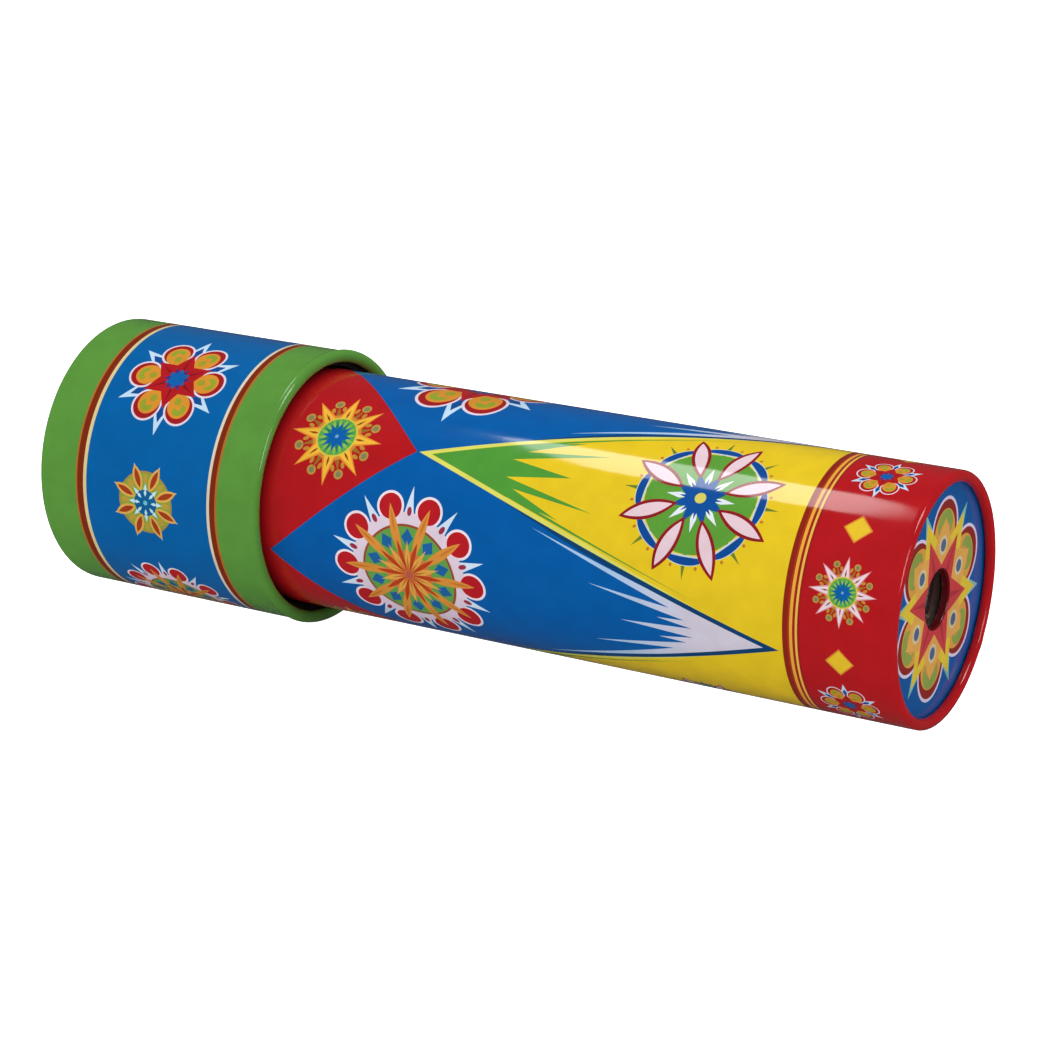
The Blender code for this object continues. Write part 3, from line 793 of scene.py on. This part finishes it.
def make_finishes():
    """Every motif and material, by what the real surface is."""
    for name, layers in (
        ("Six petals", SIX_PETAL), ("Ten spokes", TEN_SPOKE), ("Eight petals", EIGHT_PETAL),
        ("Sun", SUN), ("White sun", WHITE_SUN), ("Small rosette", SMALL_ROSETTE),
        ("Eye flower", EYE_FLOWER_AND_HOLE_SHADE),
    ):
        motif(name, layers)
    # Lithographed tinplate: inks on a white base coat under gloss varnish, so colours are clean and
    # reflections stay thin and sharp.
    varnished = {"IOR": 1.5, "Specular_IOR_Level": 0.4}
    finish("Lithographed tinplate, tube", tube_print, **varnished)
    finish("Lithographed tinplate, barrel", barrel_print, **varnished)
    finish("Lithographed tinplate, eye disc", disc_print, **varnished)
    # Tin-coated steel sheet: a soft white metal, only fairly bright.
    finish("Bare tinplate", bare_tin, Metallic=1.0)
    # Grey chipboard: matt and fibrous.
    finish("Grey chipboard", card("#7A7064", "#A89C8A", "#4C453E"), Specular_IOR_Level=0.3)
    # The same board in near-black: dull, with a brown cast. On the guide sleeve it is painted shade
    # for the shadowed gap inside the barrel's lip.
    finish("Black card, painted shade", card("#151311", "#26221E", "#3A342E"), Specular_IOR_Level=0.25)
    # Gummed kraft paper: matt brown with a faint sheen.
    finish("Gummed kraft tape", paper_tape, Specular_IOR_Level=0.35)
    # Cut acetate sheet: clear and hard, with light rubs.
    clear = polished(("#F2F5F6", "#FBFCFC"), 0.02, 0.07, 0.0015 * MM)
    finish("Clear acetate disc", clear, Transmission_Weight=1.0, IOR=1.47)
    # Frosted acetate, blasted on one face: milky, with a fine grain, and passes no image.
    frosted = clouded(("#ECEEEC", "#F8F9F7"), 0.3, 0.38, Scale=90.0,
                      grain={"Scale": 6000.0, "Detail": 2.0}, depth=0.03 * MM)
    finish("Frosted acetate disc", frosted, Transmission_Weight=0.75, IOR=1.47)
    # Silvered float glass: a bright mirror with a trace of grey.
    silvered = polished(("#A8ACAD", "#BCC0C0"), 0.015, 0.07, 0.001 * MM)
    finish("Silvered mirror glass", silvered, Metallic=1.0)
    # Drawn spring steel: hard oily grey, with die lines.
    drawn = clouded(("#8E9094", "#B8BABE"), 0.22, 0.36, Scale=3000.0,
                    grain={"Scale": 3000.0, "Detail": 3.0}, depth=0.008 * MM)
    finish("Drawn spring steel", drawn, Metallic=1.0)
    for tone, shades in CHIP_TONES.items():
        # Punched acetate: clear and deeply dyed, with handling scuffs.
        dyed = polished(shades, 0.05, 0.16)
        finish(f"Dyed acetate, {tone}", dyed, Transmission_Weight=0.45, IOR=1.47)


def redress(node, finish_name, bevel=0.0, rounding=0):
    """Gives a CAD node its real finish, with its edges softened or its facets rounded."""
    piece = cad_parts[node]
    piece.material_slots[0].material = bpy.data.materials[finish_name]
    if not (bevel or rounding):
        return
    piece.modifiers.new("Weld", "WELD").merge_threshold = 0.001 * MM
    if bevel:
        edges = piece.modifiers.new("Edges", "BEVEL")
        edges.width, edges.segments, edges.limit_method = bevel, 2, "ANGLE"
        edges.angle_limit = math.radians(30)
    if rounding:
        curve = piece.modifiers.new("Rounding", "SUBSURF")
        curve.levels = curve.render_levels = rounding


# ---- operators


# Where the camera stands, and the ways to its right, above it and ahead of it.
CAMERA_PLACE = (0.27748, -0.46749, 0.18224 + AXIS)
CAMERA_RIGHT = Vector((0.8642, 0.5032, 0))
CAMERA_UP = Vector((-0.1612, 0.2768, 0.9473))
CAMERA_AHEAD = Vector((-0.4766, 0.8186, -0.3204))

# The softbox hangs 0.6 m over the axis. Its near end is half an ellipse (centre and half sizes),
# and its far end tapers, where a flag cuts across it. Two panels stand beyond the eye end.
SOFTBOX_RISE = 0.6
NEAR_CENTRE, NEAR_HALF_SIZES = (-0.165, 0.033), (0.025, 0.117)
FAR_CORNERS = [(-0.300, 0.150), (-0.326, 0.105), (-0.277, -0.075), (-0.250, -0.084)]
HIGH_PANEL = [(0.8, -0.05, 1.7), (0.8, 0.45, 1.7), (0.8, 0.25, 0.85), (0.8, -0.15, 0.85)]
LOW_PANEL = [(0.8, -0.26, 0.5), (0.8, -0.08, 0.5), (0.8, -0.12, 0.14), (0.8, -0.30, 0.14)]


def stage_sheet(name, corners, material):
    """A flat sheet of one face, in the scene but no part of the toy."""
    mesh = bpy.data.meshes.new(name)
    mesh.from_pydata(corners, [], [list(range(len(corners)))])
    mesh.materials.append(material)
    sheet = placed(name, mesh)
    return sheet


class KALEIDOSCOPE_OT_stage(Operator):
    """Set up the white table, the lamps, the room and the camera"""

    bl_idname = "kaleidoscope.make_stage"
    bl_label = "Stage"

    def execute(self, context):
        context.scene.view_settings.view_transform = "Standard"
        settings = context.scene.kaleidoscope_stage
        self.make_camera(context.scene, settings)
        self.make_table(context.scene, settings)
        self.make_lamps(settings)
        self.make_room(context.scene, settings)
        return {"FINISHED"}

    def make_camera(self, scene, settings):
        camera = placed("Camera", bpy.data.cameras.new("Camera"))
        camera.data.lens = settings.lens
        camera.data.sensor_width = 36.0
        camera.data.clip_start = 0.01
        turn = Matrix((CAMERA_RIGHT, CAMERA_UP, -CAMERA_AHEAD)).transposed().to_4x4()
        camera.matrix_world = Matrix.Translation(CAMERA_PLACE) @ turn
        scene.camera = camera

    def make_table(self, scene, settings):
        """The table slopes, because it touches both the barrel's lip and the eye rim.

        It sends soft light up to the toy, and shows neither in the view nor in the varnish. The
        camera sees a white card in its place, which glows and lights nothing.
        """
        tube, barrel = scene.kaleidoscope_tube, scene.kaleidoscope_barrel
        lip_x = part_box("barrel_shell")[1].x - tube.sheet / 2 - barrel.lip_curl
        rim_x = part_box("main_tube")[1].x - tube.sheet / 2 - tube.eye_curl
        lip_reach = barrel.radius + barrel.lip_bulge
        slope = (lip_reach - tube.radius) / (rim_x - lip_x)
        half = settings.floor_size / 2
        corners = [(x, y, AXIS - lip_reach + slope * (x - lip_x))
                   for x, y in ((-half, -half), (half, -half), (half, half), (-half, half))]
        laminate = clouded(("#F0F0F2", "#F6F6F8"), 0.5, 0.6, Scale=40.0)
        matt = finish("Matt table laminate", laminate, Specular_IOR_Level=0.3)
        table = stage_sheet("Table", corners, matt)
        table.visible_camera = table.visible_glossy = False
        lit = finish("Lit white card", laminate, Emission_Color=WHITE, Emission_Strength=1.0)
        white_card = stage_sheet("White card", corners, lit)
        for ray in ("diffuse", "glossy", "transmission", "volume_scatter", "shadow"):
            setattr(white_card, f"visible_{ray}", False)

    def make_lamps(self, settings):
        """Three flat lamps that show only as streaks in the varnish, and a soft light above."""
        bow = np.linspace(-math.pi / 2, math.pi / 2, 13)
        near = NEAR_CENTRE + np.stack([np.cos(bow), np.sin(bow)], axis=1) * NEAR_HALF_SIZES
        softbox = np.insert(np.vstack([near, FAR_CORNERS]), 2, AXIS + SOFTBOX_RISE, axis=1)
        for name, corners, brightness in (
            ("Softbox", softbox[::-1].tolist(), settings.softbox),
            ("High side panel", HIGH_PANEL, settings.side_panels),
            ("Low side panel", LOW_PANEL, settings.side_panels),
        ):
            glow = finish(name, Base_Color="#000000", Emission_Color=WHITE,
                          Emission_Strength=brightness)
            lamp = stage_sheet(name, corners, glow)
            lamp.visible_camera = lamp.visible_diffuse = False
        sun = bpy.data.lights.new("Top light", "SUN")
        sun.energy = settings.top_light
        sun.angle = math.radians(100)
        placed("Top light", sun).visible_glossy = False

    def make_room(self, scene, settings):
        """A room that is white to a matt surface and to the camera, and dim in the gloss."""
        world = bpy.data.worlds.new("White room")
        world.use_nodes = True
        world.node_tree.nodes.clear()
        put = partial(add, world.node_tree)
        to_camera, glossy, transmitted = (put("LightPath", out=i) for i in (0, 3, 6))
        reflected = put("Math", glossy, transmitted, operation="SUBTRACT")
        strength = put("MapRange", reflected, 0.0, 1.0, settings.room_light, settings.room_gloss)
        strength = put("Math", strength, to_camera, operation="MAXIMUM")
        put("OutputWorld", put("Background", "#FFFFFF", strength))
        scene.world = world


class KALEIDOSCOPE_OT_tube(Operator):
    """Roll the viewing tube, with its bead and its eye rim"""

    bl_idname = "kaleidoscope.make_tube"
    bl_label = "Tube"

    def execute(self, context):
        tube = context.scene.kaleidoscope_tube
        start, end, _ = round_piece("main_tube")
        wall = tube.radius - tube.sheet / 2
        bead = (start + tube.sheet / 2 + tube.bead_curl, wall + tube.bead_curl)
        rim = (end - tube.sheet / 2 - tube.eye_curl, wall - tube.eye_curl)
        path = np.vstack([
            arc(bead, tube.bead_curl, math.pi / 2, 3 * math.pi / 2, 16),
            straight(bead[0], rim[0], wall),
            arc(rim, tube.eye_curl, math.pi / 2, tube.eye_curl_end, 24),
        ])
        sheet_piece("main_tube", path, tube.sheet, "tube", "printed_tube",
                    "Lithographed tinplate, tube",
                    seam=(tube.seam_turn, tube.seam_width, tube.seam_height))
        return {"FINISHED"}


class KALEIDOSCOPE_OT_eye_end(Operator):
    """Make the printed disc with the peep hole, the clear disc and the card washer behind it"""

    bl_idname = "kaleidoscope.make_eye_end"
    bl_label = "Eye end"

    def execute(self, context):
        tube = context.scene.kaleidoscope_tube
        start, end, outer = round_piece("eye_disc")
        face = end - tube.sheet / 2
        hole, bend = tube.eye_hole + tube.sheet / 2, tube.eye_bend
        path = np.vstack([
            [(face, outer), (face, hole + bend + SUPPORT_INSET)],
            arc((face - bend, hole + bend), bend, 0, -math.pi / 2, 8),
            [(start, hole)],
        ])
        sheet_piece("eye_disc", path, tube.sheet, "tube", "printed_disc",
                    "Lithographed tinplate, eye disc")
        ring("eye_window", 0.0, 0.12 * MM, "clear_disc", "Clear acetate disc", "tube")
        ring("eye_baffle", tube.eye_baffle_hole, 0.2 * MM, "grey_card", "Grey chipboard", "tube")
        return {"FINISHED"}


class KALEIDOSCOPE_OT_mirrors(Operator):
    """Finish the three mirrors and the paper tapes that hold them"""

    bl_idname = "kaleidoscope.make_mirrors"
    bl_label = "Mirrors"

    def execute(self, context):
        for side in ("bottom", "left", "right"):
            redress(f"mirror_{side}", "Silvered mirror glass", bevel=0.12 * MM)
        for end in ("eye", "object"):
            redress(f"mirror_tape_{end}", "Gummed kraft tape")
        return {"FINISHED"}


class KALEIDOSCOPE_OT_object_end(Operator):
    """Make the card, the clear disc and its ring at the tube's object end"""

    bl_idname = "kaleidoscope.make_object_end"
    bl_label = "Object end"

    def execute(self, context):
        tube = context.scene.kaleidoscope_tube
        redress("object_baffle", "Grey chipboard")
        ring("tube_window", 0.0, 0.12 * MM, "clear_disc", "Clear acetate disc", "tube")
        inner = round_piece("tube_window_ring")[2] - tube.window_ring_width
        ring("tube_window_ring", inner, 0.15 * MM, "grey_card", "Grey chipboard", "tube")
        return {"FINISHED"}


class KALEIDOSCOPE_OT_barrel(Operator):
    """Spin the turning barrel, with its flange and rolled lip, and its guide sleeve"""

    bl_idname = "kaleidoscope.make_barrel"
    bl_label = "Barrel"

    def execute(self, context):
        tube, barrel = context.scene.kaleidoscope_tube, context.scene.kaleidoscope_barrel
        start, end, _ = round_piece("barrel_shell")
        wall = barrel.radius - tube.sheet / 2
        face = start + tube.sheet / 2
        corner = (face + barrel.corner, wall - barrel.corner)
        lip = (end - tube.sheet / 2 - barrel.lip_curl, wall + barrel.lip_bulge - barrel.lip_curl)
        path = np.vstack([
            [(face, wall - barrel.flange)],
            arc(corner, barrel.corner, math.pi, math.pi / 2, 12),
            straight(corner[0], lip[0] - barrel.lip_ramp, wall),
            [(lip[0] - barrel.lip_ramp, wall)],
            arc(lip, barrel.lip_curl, math.pi / 2, barrel.lip_curl_end, 24),
        ])
        sheet_piece("barrel_shell", path, tube.sheet, "barrel", "printed_barrel",
                    "Lithographed tinplate, barrel")
        bore = tube.radius + barrel.sleeve_play
        # The sleeve's near-black card is painted shade: it darkens the gap between the lip and the
        # tube.
        ring("guide_sleeve", bore, 0.3 * MM, "black_card", "Black card, painted shade", "barrel")
        return {"FINISHED"}


class KALEIDOSCOPE_OT_cell(Operator):
    """Make the object cell: the frosted disc, the spacer, the clear disc and the spring ring"""

    bl_idname = "kaleidoscope.make_cell"
    bl_label = "Object cell"

    def execute(self, context):
        barrel = context.scene.kaleidoscope_barrel
        ring("end_window", 0.0, 0.15 * MM, "frosted_disc", "Frosted acetate disc", "barrel")
        inner = round_piece("cell_ring")[2] - barrel.cell_wall
        ring("cell_ring", inner, 0.15 * MM, "grey_card", "Grey chipboard", "barrel")
        ring("cell_window", 0.0, 0.12 * MM, "clear_disc", "Clear acetate disc", "barrel")
        self.make_clip(barrel)
        return {"FINISHED"}

    def make_clip(self, barrel):
        """The spring ring: a round wire along an open circle, with domed ends.

        Row i is a circle of radius w sqrt(1 - e^2) about a point on the ring. Over a wire radius at
        each end e goes from 0 to 1, so the ends close in a half ball.
        """
        start, end, outer = round_piece("window_clip")
        wire = (end - start) / 2
        middle = outer - wire
        half = math.pi - barrel.clip_opening / 2
        dome = np.sin(np.linspace(0, math.pi / 2, 5))
        turns = np.concatenate([
            -half - wire / middle * dome[::-1],
            np.linspace(-half, half, 129)[1:-1],
            half + wire / middle * dome,
        ])
        past = np.clip((np.abs(turns) - half) * middle / wire, 0, 1)
        thick = wire * np.sqrt(1 - past**2)
        round_wire = np.linspace(0, 2 * math.pi, 16, endpoint=False)
        along = FAR_END + (start + end) / 2 + thick[:, None] * np.cos(round_wire)
        reach = middle + thick[:, None] * np.sin(round_wire)
        aside, up = np.sin(turns)[:, None], np.cos(turns)[:, None]
        points = np.stack([along, reach * aside, AXIS - reach * up], axis=-1)
        clip = surface("window_clip_piece", points, "barrel", "spring_wire",
                       ["Drawn spring steel"], closes=False)
        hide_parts("window_clip")


class KALEIDOSCOPE_OT_chips(Operator):
    """Finish the loose coloured chips in the cell"""

    bl_idname = "kaleidoscope.make_chips"
    bl_label = "Chips"

    def execute(self, context):
        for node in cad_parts:
            if not node.startswith("chip_"):
                continue
            _, _, tone, kind = node.split("_")
            shaped = {"rounding": 1} if kind == "bead" else {"bevel": 0.12 * MM}
            redress(node, f"Dyed acetate, {tone}", **shaped)
        return {"FINISHED"}


OPERATORS = (
    KALEIDOSCOPE_OT_stage, KALEIDOSCOPE_OT_tube, KALEIDOSCOPE_OT_eye_end, KALEIDOSCOPE_OT_mirrors,
    KALEIDOSCOPE_OT_object_end, KALEIDOSCOPE_OT_barrel, KALEIDOSCOPE_OT_cell, KALEIDOSCOPE_OT_chips,
)


class KALEIDOSCOPE_PT_pieces(Panel):
    """The settings of the kaleidoscope and a button for each group of pieces"""

    bl_idname = "KALEIDOSCOPE_PT_pieces"
    bl_label = "Kaleidoscope"
    bl_space_type = "VIEW_3D"
    bl_region_type = "UI"
    bl_category = "Kaleidoscope"

    def draw(self, context):
        for pointer, group in SETTINGS.items():
            box = self.layout.box()
            for name in group.__annotations__:
                box.prop(getattr(context.scene, pointer), name)
        for operator in OPERATORS:
            self.layout.operator(operator.bl_idname)


def register():
    for kind in (*SETTINGS.values(), *OPERATORS, KALEIDOSCOPE_PT_pieces):
        bpy.utils.register_class(kind)
    for pointer, group in SETTINGS.items():
        setattr(bpy.types.Scene, pointer, PointerProperty(type=group))


def unregister():
    for pointer in SETTINGS:
        delattr(bpy.types.Scene, pointer)
    for kind in (KALEIDOSCOPE_PT_pieces, *OPERATORS[::-1], *list(SETTINGS.values())[::-1]):
        bpy.utils.unregister_class(kind)


def main():
    register()
    make_finishes()
    for operator in OPERATORS:
        group, name = operator.bl_idname.split(".")
        getattr(getattr(bpy.ops, group), name)()


if __name__ == "__main__":
    main()
